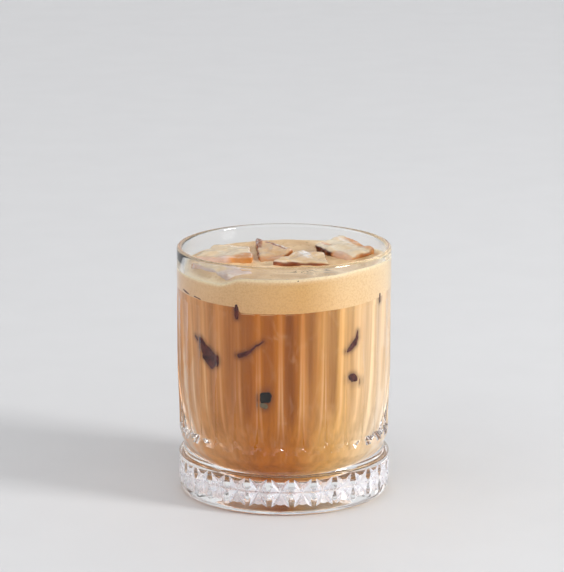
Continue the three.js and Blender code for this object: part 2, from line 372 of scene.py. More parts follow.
def curve_points(points, steps):
    """A smooth curve through points, as (place, direction) pairs."""
    ends = [Vector(points[0]) * 2 - Vector(points[1]), Vector(points[-1]) * 2 - Vector(points[-2])]
    course = [ends[0], *(Vector(p) for p in points), ends[1]]
    curve = []
    for p0, p1, p2, p3 in zip(course, course[1:], course[2:], course[3:]):
        across, bend, twist = p2 - p0, 2 * p0 - 5 * p1 + 4 * p2 - p3, 3 * p1 - p0 - 3 * p2 + p3
        for i in range(steps):
            t = i / steps
            place = (2 * p1 + across * t + bend * t ** 2 + twist * t ** 3) / 2
            curve.append((place, (across + 2 * bend * t + 3 * twist * t ** 2).normalized()))
    return curve


def inner_profile(top, reach, steps=4):
    """The inside from the middle of the floor up to a height, moved out into the glass."""
    wall_start = (inner_radius(WALL_START) / MM, WALL_START / MM)
    curve = curve_points([*INNER_BOTTOM, wall_start], steps)
    bowl = [(p.x * MM + d.y * reach, p.y * MM - d.x * reach) for p, d in curve]
    bowl[0] = (0.0, bowl[0][1])
    heights = [mix(WALL_START, top, i / WALL_LEVELS) for i in range(WALL_LEVELS + 1)]
    return [*bowl, *((inner_radius(z) + reach, z) for z in heights)]


def spin_profile(points, columns, first_angle=0.0):
    """A bmesh turned round the upright axis from (radius, height) points."""
    bm = bmesh.new()
    turn = Matrix.Rotation(math.radians(first_angle), 4, "Z")
    verts = [bm.verts.new(turn @ Vector((0.0, -r, z))) for r, z in points]
    edges = [bm.edges.new(pair) for pair in zip(verts, verts[1:])]
    bmesh.ops.spin(
        bm, geom=verts + edges, cent=(0, 0, 0), axis=(0, 0, 1),
        angle=math.tau, steps=columns, use_merge=True,
    )
    bmesh.ops.remove_doubles(bm, verts=bm.verts, dist=0.002 * MM)
    bmesh.ops.recalc_face_normals(bm, faces=bm.faces)
    return bm


def boolean_cut(piece, cutter):
    """Cuts one object out of another for good, and removes the cutter."""
    modifier = piece.modifiers.new("cut", "BOOLEAN")
    modifier.operation = "DIFFERENCE"
    modifier.solver = "MANIFOLD"
    modifier.object = cutter
    bpy.context.view_layer.update()
    depsgraph = bpy.context.evaluated_depsgraph_get()
    mesh = bpy.data.meshes.new_from_object(piece.evaluated_get(depsgraph))
    piece.modifiers.clear()
    piece.data = mesh
    bpy.data.objects.remove(cutter)


# Node trees

def add_node(tree, kind, inputs=None, **settings):
    """A new node, where each input is a value or another node's output."""
    made = tree.nodes.new(kind)
    for name, value in settings.items():
        setattr(made, name, value)
    for key, value in (inputs or {}).items():
        if isinstance(value, bpy.types.NodeSocket):
            tree.links.new(value, made.inputs[key])
        else:
            made.inputs[key].default_value = value
    return made


def calc(tree, operation, a, b=0.0, c=0.0):
    return add_node(tree, "ShaderNodeMath", {0: a, 1: b, 2: c}, operation=operation).outputs[0]


def product(tree, first, *others):
    """All values multiplied with each other."""
    for other in others:
        first = calc(tree, "MULTIPLY", first, other)
    return first


def remap(tree, value, from_low, from_high, to_low, to_high):
    """A value carried smoothly and without overshoot from one range to another."""
    inputs = {
        "Value": value, "From Min": from_low, "From Max": from_high, "To Min": to_low, "To Max": to_high,
    }
    return add_node(tree, "ShaderNodeMapRange", inputs, interpolation_type="SMOOTHSTEP").outputs["Result"]


def ramp(tree, value, stops):
    """A colour ramp from (position, colour) stops."""
    made = add_node(tree, "ShaderNodeValToRGB", {"Fac": value})
    elements = made.color_ramp.elements
    while len(elements) < len(stops):
        elements.new(0.5)
    for element, (position, colour) in zip(elements, stops):
        element.position = position
        element.color = (*colour, 1)
    return made.outputs["Color"]


def blend(tree, mode, amount, a, b):
    """Two colours mixed or multiplied."""
    inputs = {"Factor": amount, 6: a, 7: b}
    made = add_node(tree, "ShaderNodeMix", inputs, data_type="RGBA", blend_type=mode)
    return made.outputs[2]


def noise_value(tree, stretch, scale, detail=2.0, distortion=0.0):
    """Noise over the piece, drawn out along the axes by a stretch."""
    place = add_node(tree, "ShaderNodeTexCoord").outputs["Object"]
    mapped = add_node(tree, "ShaderNodeMapping", {"Vector": place, "Scale": stretch}).outputs[0]
    inputs = {"Vector": mapped, "Scale": scale, "Detail": detail, "Distortion": distortion}
    return add_node(tree, "ShaderNodeTexNoise", inputs).outputs[0]


def shade(red, green, blue):
    """A screen colour from 0 to 255 as the renderer's linear one."""
    levels = [c / 255 for c in (red, green, blue)]
    return tuple(c / 12.92 if c <= 0.04045 else ((c + 0.055) / 1.055) ** 2.4 for c in levels)


def stain(tree, amount, colour, red, green, blue):
    """A colour drawn towards a plain screen colour."""
    return blend(tree, "MIX", amount, colour, (*shade(red, green, blue), 1))


def mark(tree, name):
    """A value kept in the mesh under a name."""
    return add_node(tree, "ShaderNodeAttribute", attribute_name=name).outputs["Fac"]


def object_axes(tree):
    """The x, y and z of a point on the piece."""
    place = add_node(tree, "ShaderNodeTexCoord").outputs["Object"]
    return add_node(tree, "ShaderNodeSeparateXYZ", {0: place}).outputs


def new_material(name, **settings):
    """A material and its tree, with uniform numbers set on the shader."""
    material = bpy.data.materials.new(name)
    material.use_nodes = True
    shader = material.node_tree.nodes["Principled BSDF"]
    for key, value in settings.items():
        shader.inputs[key.replace("_", " ")].default_value = value
    return material, material.node_tree, shader


def place_group():
    """Where a point lies round the glass: angle, height in mm, place across its flute, and flute number."""
    tree = bpy.data.node_groups.new("place_round_glass", "ShaderNodeTree")
    for name in ("Angle", "Height", "Across", "Flute"):
        tree.interface.new_socket(name, in_out="OUTPUT", socket_type="NodeSocketFloat")
    x, y, z = object_axes(tree)
    angle = calc(tree, "DEGREES", calc(tree, "ARCTAN2", x, calc(tree, "MULTIPLY", y, -1.0)))
    flutes = calc(tree, "DIVIDE", calc(tree, "SUBTRACT", angle, PATTERN_TURN), FLUTE_PITCH)
    results = {
        "Angle": angle, "Height": calc(tree, "DIVIDE", z, MM),
        "Across": calc(tree, "FRACT", flutes), "Flute": calc(tree, "FLOOR", flutes),
    }
    add_node(tree, "NodeGroupOutput", results)
    return tree


def group_outputs(tree, group):
    return add_node(tree, "ShaderNodeGroup", node_tree=group).outputs


# Materials

def glass_material():
    material, tree, shader = new_material(
        "clear_glass", Roughness=0.0, IOR=1.5, Transmission_Weight=1.0,
    )
    cloud = noise_value(tree, (1, 1, 1), 45.0, 3.0)
    tint = ramp(tree, cloud, ((0.3, (0.985, 0.992, 0.99)), (0.75, (0.965, 0.978, 0.975))))
    tree.links.new(tint, shader.inputs["Base Color"])
    return material


def star_material():
    """Satin faces of the wheel cuts."""
    material, tree, shader = new_material("star_cut", IOR=1.5, Transmission_Weight=0.65)
    frost_and_highlight = noise_value(tree, (1, 1, 1), 500.0, 2.0)
    tint = ramp(tree, frost_and_highlight, ((0.3, (0.84, 0.86, 0.95)), (0.7, (0.94, 0.95, 1.0))))
    tree.links.new(tint, shader.inputs["Base Color"])
    tree.links.new(remap(tree, frost_and_highlight, 0.3, 0.7, 0.22, 0.4), shader.inputs["Roughness"])
    return material


def coffee_tone_and_painted_light(tree, angle):
    """Colour round the glass: darkest at the front, paler on the left, and palest on the right, where painted
    light from the right adds to the milk that gathers there.
    """
    swing = calc(tree, "MULTIPLY_ADD", noise_value(tree, (1, 1, 0.5), 60.0, 3.0, 0.6), 18.0, -9.0)
    turned = calc(tree, "DIVIDE", calc(tree, "ADD", calc(tree, "ADD", angle, swing), 180.0), 360.0)
    return ramp(tree, turned, (
        (0.0, shade(222, 160, 98)), (0.24, shade(246, 184, 124)), (0.36, shade(237, 174, 112)),
        (0.45, shade(203, 119, 26)), (0.52, shade(203, 125, 36)), (0.59, shade(238, 186, 112)),
        (0.66, shade(246, 216, 174)), (0.76, shade(248, 224, 194)), (1.0, shade(222, 160, 98)),
    ))


def painted_flute_shade(tree, angle, edge, per_flute, fade):
    """Painted shade and light in upright streaks, as the flutes would bend light onto the coffee: a dark one
    in the middle of each flute, strongest at the front, and fine ones.
    """
    dips = calc(tree, "SUBTRACT", 1.0, calc(tree, "POWER", edge, 2.0))
    from_darkest = calc(tree, "ABSOLUTE", calc(tree, "SUBTRACT", angle, DARKEST_ANGLE))
    strength = remap(tree, from_darkest, *STREAKS_WEAKEN, 0.5, 0.16)
    uneven = calc(tree, "MULTIPLY_ADD", per_flute, 0.5, 0.72)
    dark = product(tree, dips, strength, uneven, fade)
    streaks = noise_value(tree, (1, 1, 0.04), 300.0, 3.0, 0.3)
    dark = calc(tree, "ADD", dark, remap(tree, streaks, 0.35, 0.68, -0.10, 0.14))
    fine = noise_value(tree, (1, 1, 0.02), 900.0, 1.0)
    return calc(tree, "ADD", dark, remap(tree, fine, 0.35, 0.65, -0.04, 0.05))


def painted_ridge_light(tree, angle, height, edge, per_flute):
    """How strongly painted light, as the ridges between the flutes would focus it, pales the coffee behind
    them.
    """
    along = remap(tree, edge, 0.78, 0.95, 0.0, 0.5)
    lower = remap(tree, height, *RIDGES_WEAKEN, 1.0, 0.25)
    uneven = calc(tree, "MULTIPLY_ADD", per_flute, 0.9, 0.35)
    to_left = remap(tree, angle, *LEFT_RIDGES, 1.9, 1.0)
    return product(tree, along, lower, uneven, to_left)


def painted_side_light(tree, angle, height, edge):
    """Painted light in wisps low on both sides, where light comes in through the sides of the glass."""
    aside = calc(tree, "ABSOLUTE", angle)
    starts = remap(tree, aside, *SIDE_LIGHT_STARTS, 0.0, 0.75)
    ends = remap(tree, aside, *SIDE_LIGHT_ENDS, 1.0, 0.0)
    swirl = noise_value(tree, (1, 1, 0.5), 75.0, 4.0, 1.4)
    wisps = remap(tree, swirl, 0.38, 0.6, -SIDE_LIGHT_WISP, SIDE_LIGHT_WISP)
    low = remap(tree, calc(tree, "ADD", height, wisps), *SIDE_LIGHT_HEIGHTS, 1.0, 0.0)
    return product(tree, starts, ends, low, remap(tree, edge, 0.1, 0.9, 0.35, 1.0))


def coffee_material(place):
    """Milk coffee, with painted shade and light streaked along the flutes and painted light low on its sides.
    """
    material, tree, shader = new_material("milk_coffee", Roughness=0.05, IOR=0.96)
    angle, height, across, flute = group_outputs(tree, place)
    edge = calc(tree, "ABSOLUTE", calc(tree, "MULTIPLY_ADD", across, 2.0, -1.0))
    per_flute = add_node(tree, "ShaderNodeTexWhiteNoise", {"W": flute}, noise_dimensions="1D").outputs[0]
    fade = remap(tree, height, *STREAKS_START, 0.1, 1.0)
    # the painted flute shade, taken off the colour
    light = calc(tree, "SUBTRACT", 1.0, painted_flute_shade(tree, angle, edge, per_flute, fade))
    shaded = add_node(tree, "ShaderNodeCombineColor", {
        0: calc(tree, "POWER", light, 0.8), 1: light, 2: calc(tree, "POWER", light, 1.25),
    }).outputs[0]
    # colour round the glass with its painted light from the right, times the painted flute shade
    coloured = blend(tree, "MULTIPLY", 1.0, coffee_tone_and_painted_light(tree, angle), shaded)
    milk = remap(tree, noise_value(tree, (1, 1, 0.7), 130.0, 4.0, 1.2), 0.52, 0.75, 0.0, 0.2)
    coloured = stain(tree, milk, coloured, 236, 196, 150)
    # painted light in pale lines behind the ridges
    ridge_light = calc(tree, "MULTIPLY", painted_ridge_light(tree, angle, height, edge, per_flute), fade)
    coloured = stain(tree, ridge_light, coloured, 250, 210, 160)
    low = remap(tree, height, *LOW_TINT, 1.0, 0.0)
    coloured = blend(tree, "MULTIPLY", low, coloured, (0.99, 0.88, 0.68, 1))
    # painted light low on both sides, in a pale milky colour
    coloured = stain(tree, painted_side_light(tree, angle, height, edge), coloured, 255, 238, 218)
    coloured = stain(tree, mark(tree, "chip_halo"), coloured, 92, 48, 42)
    tree.links.new(coloured, shader.inputs["Base Color"])
    return material


def dark_wavy_lines(tree):
    """Thin dark wavy lines on one place of the foam, from 0 to 1."""
    x, y, _ = object_axes(tree)
    along = calc(tree, "DIVIDE", calc(tree, "SUBTRACT", x, DARK_LINES_MIDDLE.x), DARK_LINES_SPREAD.x)
    aside = calc(tree, "DIVIDE", calc(tree, "SUBTRACT", y, DARK_LINES_MIDDLE.y), DARK_LINES_SPREAD.y)
    away = calc(tree, "ADD", calc(tree, "POWER", along, 2.0), calc(tree, "POWER", aside, 2.0))
    waves = noise_value(tree, (0.3, 1, 1), 420.0, 2.0, 0.6)
    line = remap(tree, calc(tree, "ABSOLUTE", calc(tree, "SUBTRACT", waves, 0.5)), 0.012, 0.06, 1.0, 0.0)
    return calc(tree, "MULTIPLY", line, remap(tree, away, 0.4, 1.3, 0.8, 0.0))


def foam_top_mask(tree):
    """1 on the foam's top and 0 against the wall."""
    x, y, _ = object_axes(tree)
    squares = calc(tree, "ADD", calc(tree, "POWER", x, 2.0), calc(tree, "POWER", y, 2.0))
    return remap(tree, calc(tree, "SQRT", squares), *TOP_COLOUR_END, 1.0, 0.0)


def foam_tone_and_painted_light(tree, angle, clouds, is_top):
    """Tan on the left and creamy on the right at the wall, the creamy right partly painted light from the
    right, and cloudy on top.
    """
    turned = calc(tree, "DIVIDE", calc(tree, "ADD", angle, 180.0), 360.0)
    # colour round the wall: the foam's tone, with painted light from the right
    band = ramp(tree, turned, (
        (0.0, shade(226, 186, 138)), (0.28, shade(246, 212, 172)), (0.40, shade(236, 196, 144)),
        (0.53, shade(226, 180, 112)), (0.60, shade(240, 206, 152)), (0.70, shade(246, 222, 182)),
        (1.0, shade(226, 186, 138)),
    ))
    top = ramp(tree, clouds, (
        (0.35, shade(202, 164, 118)), (0.5, shade(218, 184, 138)), (0.66, shade(238, 212, 172)),
    ))
    return blend(tree, "MIX", is_top, band, top)


def cloud_lines(tree, clouds, is_top):
    """Thin coffee-coloured lines in the pale clouds on the top."""
    waves = noise_value(tree, (1, 1, 1), 130.0, 2.0, 1.5)
    contour = calc(tree, "ABSOLUTE", calc(tree, "SUBTRACT", waves, 0.5))
    line = remap(tree, contour, 0.0, 0.012, 0.4, 0.0)
    return product(tree, line, remap(tree, clouds, 0.44, 0.52, 0.0, 1.0), is_top)


def foam_material(place):
    """Fine froth with coffee-coloured clouds, a painted highlight along its crest at the wall and thin dark
    wavy lines in one place.
    """
    material, tree, shader = new_material("coffee_foam", Roughness=0.45, IOR=1.33)
    angle = group_outputs(tree, place)["Angle"]
    clouds = noise_value(tree, (1, 1, 1), 70.0, 4.0, 1.0)
    is_top = foam_top_mask(tree)
    coloured = foam_tone_and_painted_light(tree, angle, clouds, is_top)
    # painted highlight along the crest at the wall
    coloured = stain(tree, calc(tree, "MULTIPLY", mark(tree, "crest_highlight"), 0.85), coloured, 255, 240, 204)
    coloured = stain(tree, cloud_lines(tree, clouds, is_top), coloured, 176, 126, 76)
    coloured = stain(tree, dark_wavy_lines(tree), coloured, 112, 78, 52)
    froth = noise_value(tree, (1, 1, 1), 1600.0, 2.0)
    specks = remap(tree, froth, 0.3, 0.6, 0.25, 0.0)
    coloured = blend(tree, "MULTIPLY", specks, coloured, (*shade(205, 165, 120), 1))
    tree.links.new(coloured, shader.inputs["Base Color"])
    bump = add_node(tree, "ShaderNodeBump", {"Height": froth, "Strength": 0.25, "Distance": 0.2 * MM})
    tree.links.new(bump.outputs[0], shader.inputs["Normal"])
    return material


def ice_material():
    """Melting ice: milky where it lies flat, brown where the drink shows through its sides, and with painted
    white highlights on some edges.
    """
    material, tree, shader = new_material("melting_ice", IOR=1.31, Transmission_Weight=0.4)
    film, deep, frost_and_highlight, pale = (mark(tree, name) for name in ("film", "deep", "frost_and_highlight", "pale"))
    cloud = noise_value(tree, (1, 1, 1), 110.0, 3.0, 0.8)
    level = calc(tree, "ADD", pale, calc(tree, "MULTIPLY_ADD", cloud, 1.0, -0.5))
    milky = ramp(tree, level, (
        (0.0, shade(228, 182, 132)), (0.5, shade(240, 210, 164)), (1.0, shade(252, 238, 208)),
    ))
    clear = ramp(tree, deep, (
        (0.0, shade(236, 210, 198)), (0.35, shade(228, 156, 84)), (0.65, shade(176, 98, 50)),
        (1.0, shade(74, 24, 10)),
    ))
    coloured = blend(tree, "MIX", film, clear, milky)
    sparkle = remap(tree, noise_value(tree, (1, 1, 1), 420.0, 2.0), 0.42, 0.6, 0.3, 1.0)
    # painted white highlights, broken up by the sparkle noise
    coloured = blend(tree, "MIX", calc(tree, "MULTIPLY", frost_and_highlight, sparkle), coloured, (1.0, 0.98, 0.94, 1))
    tree.links.new(coloured, shader.inputs["Base Color"])
    tree.links.new(remap(tree, film, 0.0, 1.0, 0.04, 0.14), shader.inputs["Roughness"])
    melt = noise_value(tree, (1, 1, 1), 240.0, 3.0)
    bump = add_node(tree, "ShaderNodeBump", {"Height": melt, "Strength": 0.45, "Distance": 0.5 * MM})
    tree.links.new(bump.outputs[0], shader.inputs["Normal"])
    return material


def chip_material(name, dark, pale):
    """Sunk ice against the wall, which shows as dark as the drink behind it."""
    material, tree, shader = new_material(name, Roughness=0.3, IOR=1.1)
    cloud = noise_value(tree, (1, 1, 1), 500.0, 3.0, 0.5)
    tint = ramp(tree, cloud, ((0.35, dark), (0.65, pale)))
    tree.links.new(tint, shader.inputs["Base Color"])
    return material


def bubble_material():
    material, tree, shader = new_material("bubble_skin", Roughness=0.0, IOR=1.2, Transmission_Weight=0.9)
    cloud = noise_value(tree, (1, 1, 1), 700.0, 1.0)
    tint = ramp(tree, cloud, ((0.3, (1.0, 0.97, 0.92)), (0.7, (0.97, 0.9, 0.8))))
    tree.links.new(tint, shader.inputs["Base Color"])
    return material


# Glass

def glass_profile():
    """The whole wall as one closed line from the middle of the underside round to the middle of the floor."""
    waist = WAIST_HEIGHT
    foot = FOOT_EDGE_HEIGHT
    hollow = [(BASE_HOLLOW_RADIUS * i / 12, BASE_HOLLOW_DEPTH * (1 - (i / 12) ** 2)) for i in range(13)]
    heel = arc_points(FOOT_RADIUS - HEEL_RADIUS, HEEL_RADIUS, HEEL_RADIUS, -90, 0, 6)
    ledge = [
        (FOOT_RADIUS, foot), (FOOT_RADIUS - 0.2 * MM, foot + 0.25 * MM),
        (FOOT_RADIUS - 0.8 * MM, foot + 0.3 * MM), (FOOT_RADIUS - 1.3 * MM, foot + 0.4 * MM),
    ]
    waist_steps = (
        (0.1, -4.1), (-0.1, -3.4), (-0.2, -2.6), (-0.25, -1.7), (-0.2, -0.8), (0, 0), (0.2, 0.6),
        (0.5, 1.2), (0.85, 1.9), (1.15, 2.8), (1.35, 3.8), (1.45, 5.2),
    )
    waist_curve = [(WAIST_RADIUS + out * MM, waist + up * MM) for out, up in waist_steps]
    low_steps = (-1.5, -1.2, -0.9, -0.6, -0.3, 0, 0.5, 1.5, 4, 8, 13, 18, 23, 28, 36, 44)
    low = [FLUTE_BOTTOM + step * MM for step in low_steps]
    high = [FLUTE_TOP + step * MM for step in (0, 0.1, 0.2, 0.3, 2, 8)]
    body = [(ridge_radius(z), z) for z in low + high]
    lip = arc_points(BODY_RADIUS - LIP_RADIUS, GLASS_HEIGHT - LIP_RADIUS, LIP_RADIUS, 0, 180, 10)
    inside = inner_profile(GLASS_HEIGHT - LIP_RADIUS - 1 * MM, 0.0)[::-1]
    wall = inside[:WALL_LEVELS:GLASS_LEVEL_STEP]
    return [*hollow, *heel, *ledge, *waist_curve, *body, *lip, *wall, *inside[WALL_LEVELS:]]


def cut_flutes(bm):
    """Sinks the hollow flutes into the outside of the body."""
    for vert in bm.verts:
        x, y, z = vert.co
        r = math.hypot(x, y)
        if z < WAIST_HEIGHT + 1 * MM or r < WAIST_RADIUS + 0.2 * MM:
            continue
        across = ((angle_of(x, y) - PATTERN_TURN) / FLUTE_PITCH) % 1.0
        rise = (z - FLUTE_BOTTOM) / (FLUTE_TOP - FLUTE_BOTTOM)
        depth = mix(FLUTE_DEPTH_BELOW, FLUTE_DEPTH_ABOVE, min(1.0, max(0.0, rise)))
        hollow = depth * (1 - (2 * across - 1) ** 2)
        beyond = max(0.0, FLUTE_BOTTOM - z) + max(0.0, z - FLUTE_TOP)
        floor = ridge_radius(z) - hollow + FLUTE_RUN_OUT * beyond
        if floor < r:
            vert.co.x *= floor / r
            vert.co.y *= floor / r


def star_wheel(bm, length, lean, angle):
    """One sharp cutting wheel, standing on edge in the place of one groove."""
    squeeze = math.cos(math.radians(lean)) ** 2 / FOOT_RADIUS
    wheel_radius = 1 / (8 * STAR_CUT_DEPTH / length ** 2 - squeeze)
    half_width = wheel_radius * (STAR_CUT_WIDTH / 2) / STAR_CUT_DEPTH
    centre = FOOT_RADIUS + wheel_radius - STAR_CUT_DEPTH
    lie = Matrix.Rotation(math.radians(-lean), 4, "Y")
    turn = Matrix.Rotation(math.radians(angle), 4, "Z")
    place = turn @ Matrix.Translation((0, -centre, STAR_HEIGHT)) @ lie
    made = []
    for side in (1, -1):
        tip = Matrix.Translation((0, 0, side * half_width / 2))
        flip = Matrix.Rotation(0 if side > 0 else math.pi, 4, "X")
        cone = bmesh.ops.create_cone(
            bm, cap_ends=False, segments=WHEEL_SEGMENTS, radius1=wheel_radius, radius2=0,
            depth=half_width, matrix=place @ tip @ flip,
        )
        made += cone["verts"]
    bmesh.ops.remove_doubles(bm, verts=made, dist=0.001 * MM)
    made = [v for v in made if v.is_valid]
    # only the part near the glass is kept
    edges = {edge for vert in made for edge in vert.link_edges}
    faces = {face for vert in made for face in vert.link_faces}
    geom = [*made, *edges, *faces]
    cut_place = turn @ Vector((0, -(FOOT_RADIUS + WHEEL_CLEARANCE), STAR_HEIGHT))
    cut_normal = turn @ Vector((0, -1, 0))
    cut = bmesh.ops.bisect_plane(bm, geom=geom, plane_co=cut_place, plane_no=cut_normal, clear_outer=True)
    rim = [e for e in cut["geom_cut"] if isinstance(e, bmesh.types.BMEdge)]
    bmesh.ops.contextual_create(bm, geom=rim)


def star_cutters(length, lean, first):
    """Every second groove of one direction, so that no two of them overlap."""
    bm = bmesh.new()
    for i in range(first, FLUTE_COUNT, 2):
        star_wheel(bm, length, lean, PATTERN_TURN + FLUTE_PITCH * i)
    bmesh.ops.recalc_face_normals(bm, faces=bm.faces)
    return bm


def dimple_cutters(first):
    """Shallow round hollows that join the grooves of each star."""
    bm = bmesh.new()
    ball = (DIMPLE_RADIUS ** 2 + DIMPLE_DEPTH ** 2) / (2 * DIMPLE_DEPTH)
    for i in range(first, FLUTE_COUNT, 2):
        turn = Matrix.Rotation(math.radians(PATTERN_TURN + FLUTE_PITCH * i), 4, "Z")
        place = turn @ Matrix.Translation((0, -(FOOT_RADIUS + ball - DIMPLE_DEPTH), DIMPLE_HEIGHT))
        bmesh.ops.create_icosphere(bm, subdivisions=5, radius=ball, matrix=place)
    return bm


def make_glass():
    bm = spin_profile(glass_profile(), FLUTE_COUNT * COLUMNS_PER_FLUTE, PATTERN_TURN)
    cut_flutes(bm)
    clear = glass_material()
    piece = add_object("glass_body", bm, clear, star_material())
    for first in (0, 1):
        boolean_cut(piece, add_object("dimple_cutters", dimple_cutters(first), clear))
    directions = ((STAR_LEVEL_LENGTH, 0.0), (STAR_SLANT_LENGTH, STAR_SLANT), (STAR_SLANT_LENGTH, -STAR_SLANT))
    for length, lean in directions:
        for first in (0, 1):
            boolean_cut(piece, add_object("star_cutters", star_cutters(length, lean, first), clear))
    for face in piece.data.polygons:
        r = math.hypot(face.center.x, face.center.y)
        in_band = HEEL_RADIUS < face.center.z < FOOT_EDGE_HEIGHT and FOOT_RADIUS - 2 * MM < r
        face.material_index = int(in_band and r < FOOT_RADIUS - 0.02 * MM)
    smooth_faces(piece, GLASS_SHARP_ANGLE)
    return finish_piece(piece, "glass", "glass")


# Ice

def in_block(block, place):
    """A place in a block, from a cube's coordinates of -1 to 1."""
    depth, *top = block
    u, v, w = place
    shares = ((1 - u) * (1 - v), (1 + u) * (1 - v), (1 + u) * (1 + v), (1 - u) * (1 + v))
    middle = sum((Vector(corner) for corner in top), Vector()) / 4
    spot = sum((Vector(corner) * share for corner, share in zip(top, shares)), Vector()) / 4
    down = (1 - w) / 2
    draw = mix(1, ICE_TAPER, down)
    return Vector((mix(middle.x, spot.x, draw), mix(middle.y, spot.y, draw), spot.z - depth * down)) * MM


def ice_bmesh(block, grow, cuts):
    """A rounded, slightly uneven block, made larger by grow."""
    bm = bmesh.new()
    bmesh.ops.create_cube(bm, size=2)
    bmesh.ops.subdivide_edges(bm, edges=bm.edges, cuts=cuts, use_grid_fill=True)
    core = 1 - ICE_CORNER_SHARE
    for vert in bm.verts:
        inner = Vector([min(core, max(-core, c)) for c in vert.co])
        rounded = inner + (vert.co - inner).normalized() * ICE_CORNER_SHARE
        vert.co = in_block(block, rounded)
    bm.normal_update()
    moves = []
    for vert in bm.verts:
        x, y, z = vert.co / MM
        wave = 0.25 * math.sin(0.6 * x) * math.cos(0.5 * y + 0.4 * z)
        melt = 0.8 * noise.noise(vert.co * 0.18 / MM) + 0.25 * noise.noise(vert.co * 0.6 / MM)
        moves.append((vert, vert.normal * (grow + (wave + melt) * MM)))
    for vert, move in moves:
        vert.co += move
    bmesh.ops.recalc_face_normals(bm, faces=bm.faces)
    return bm


def patch_strength(start, end, x, y):
    """How strongly a place on the ice lies in a patch between two round ends, from 0 to 1."""
    (x0, y0, r0), (x1, y1, r1) = start, end
    along, here = Vector((x1 - x0, y1 - y0)), Vector((x - x0, y - y0))
    t = min(1.0, max(0.0, here.dot(along) / along.length_squared))
    away = (here - along * t).length / mix(r0, r1, t)
    return 1 - smoothstep(away, 0.5, 1.3)


def side_darkness(block, shades, normal):
    """The shade of the sides that a normal faces, weighed against each other."""
    corners = [Vector(corner[:2]) for corner in block[1:]]
    total, weights = 0.0, 1e-6
    for start, end, dark in zip(corners, corners[1:] + corners[:1], shades):
        side = (end - start).normalized()
        weight = max(0.0, side.y * normal.x - side.x * normal.y) ** 4
        total += weight * dark
        weights += weight
    return total / weights


def shade_ice(piece, name, block):
    """Marks where the ice is milky or dark, and where white highlights are painted."""
    shades, paleness = ICE_SHADES[name]
    mesh = piece.data
    film, deep, frost_and_highlight, pale = (
        mesh.attributes.new(key, "FLOAT", "POINT").data for key in ("film", "deep", "frost_and_highlight", "pale")
    )
    back = max(corner[2] for corner in block[1:])
    for i, vert in enumerate(mesh.vertices):
        x, y, z = vert.co / MM
        ragged = noise.noise(vert.co * 0.3 / MM)
        milky = smoothstep(vert.normal.z + 0.12 * ragged, 0.45, 0.85)
        dark = side_darkness(block, shades, vert.normal) + 0.25 * ragged
        # painted highlight along the rounded top edges near the back
        edge = smoothstep(vert.normal.z, 0.45, 0.7) * (1 - smoothstep(vert.normal.z, 0.9, 0.99))
        white = 0.5 * edge * smoothstep(z, back - 2.4, back - 1.0)
        for start, end, tone in ICE_PATCHES.get(name, ()):
            there = patch_strength(start, end, x + 0.7 * ragged, y + 0.7 * ragged)
            # patches below 0 are painted white highlights
            if tone < 0:
                white = max(white, -tone * there)
            else:
                dark = mix(dark, tone, there)
                milky *= 1 - 0.9 * there
        film[i].value = milky
        deep[i].value = min(1.0, max(0.0, dark))
        frost_and_highlight[i].value = white
        pale[i].value = paleness


def make_ice():
    material = ice_material()
    for name, block in ICE_BLOCKS.items():
        piece = add_object(f"{name}_block", ice_bmesh(block, 0.0, ICE_CUTS), material)
        shade_ice(piece, name, block)
        smooth_faces(piece, ICE_SHARP_ANGLE)
        finish_piece(piece, "ice", name)


def cut_round_ice(piece):
    """Leaves room for every block, a little less than it fills, so that no gap shows round it."""
    material = piece.data.materials[0]
    for block in ICE_BLOCKS.values():
        cutter = ice_bmesh(block, -ICE_BITE, ICE_CUTTER_CUTS)
        boolean_cut(piece, add_object("ice_cutter", cutter, material))


# Drink

def chip_distance(x, y, z):
    """Distance from a place on the wall to the edge of the nearest sunk chip, under 0 inside it."""
    angle, radius = angle_of(x, y), math.hypot(x, y)
    nearest = 1.0
    for name, chain in SUNK_CHIPS.items():
        if name.startswith("foam"):
            continue
        for (a0, z0, r0), (a1, z1, r1) in zip(chain, chain[1:]):
            start = Vector((math.radians(a0) * radius, z0 * MM))
            along = Vector((math.radians(a1) * radius, z1 * MM)) - start
            here = Vector((math.radians(angle) * radius, z)) - start
            t = min(1.0, max(0.0, here.dot(along) / max(along.length_squared, 1e-12)))
            nearest = min(nearest, (here - along * t).length - mix(r0, r1, t) * MM)
    return nearest


def make_coffee(place):
    top = FOAM_BASE
    points = [*inner_profile(top, REACH), (inner_radius(top) * FLAT_SHARE, top), (0, top)]
    bm = spin_profile(points, DRINK_COLUMNS)
    for vert in bm.verts:
        if vert.co.z > top - 0.5 * MM:
            vert.co.z += foam_base(vert.co.x, vert.co.y) - top
    piece = add_object("milk_coffee", bm, coffee_material(place))
    cut_round_ice(piece)
    halo = piece.data.attributes.new("chip_halo", "FLOAT", "POINT")
    for vert, value in zip(piece.data.vertices, halo.data):
        x, y, z = vert.co
        if math.hypot(x, y) > HALO_RADIUS and z > HALO_LOWEST:
            away = max(0.0, chip_distance(x, y, z)) / HALO_WIDTH
            value.value = HALO_STRENGTH * math.exp(-away ** 1.5)
    smooth_faces(piece, DRINK_SHARP_ANGLE)
    finish_piece(piece, "coffee", "coffee")


def block_distance(block, x, y):
    """Distance in mm from a place to a block's outline at the surface, under 0 inside it."""
    corners = [Vector(corner[:2]) for corner in block[1:]]
    middle = sum(corners, Vector((0, 0))) / 4
    corners = [middle + (corner - middle) * ICE_OUTLINE_SHARE for corner in corners]
    here = Vector((x, y)) / MM
    nearest, inside = 1e9, True
    for start, end in zip(corners, corners[1:] + corners[:1]):
        side, offset = end - start, here - start
        t = min(1.0, max(0.0, offset.dot(side) / side.length_squared))
        nearest = min(nearest, (offset - side * t).length)
        inside = inside and side.x * offset.y - side.y * offset.x > 0
    return -nearest if inside else nearest


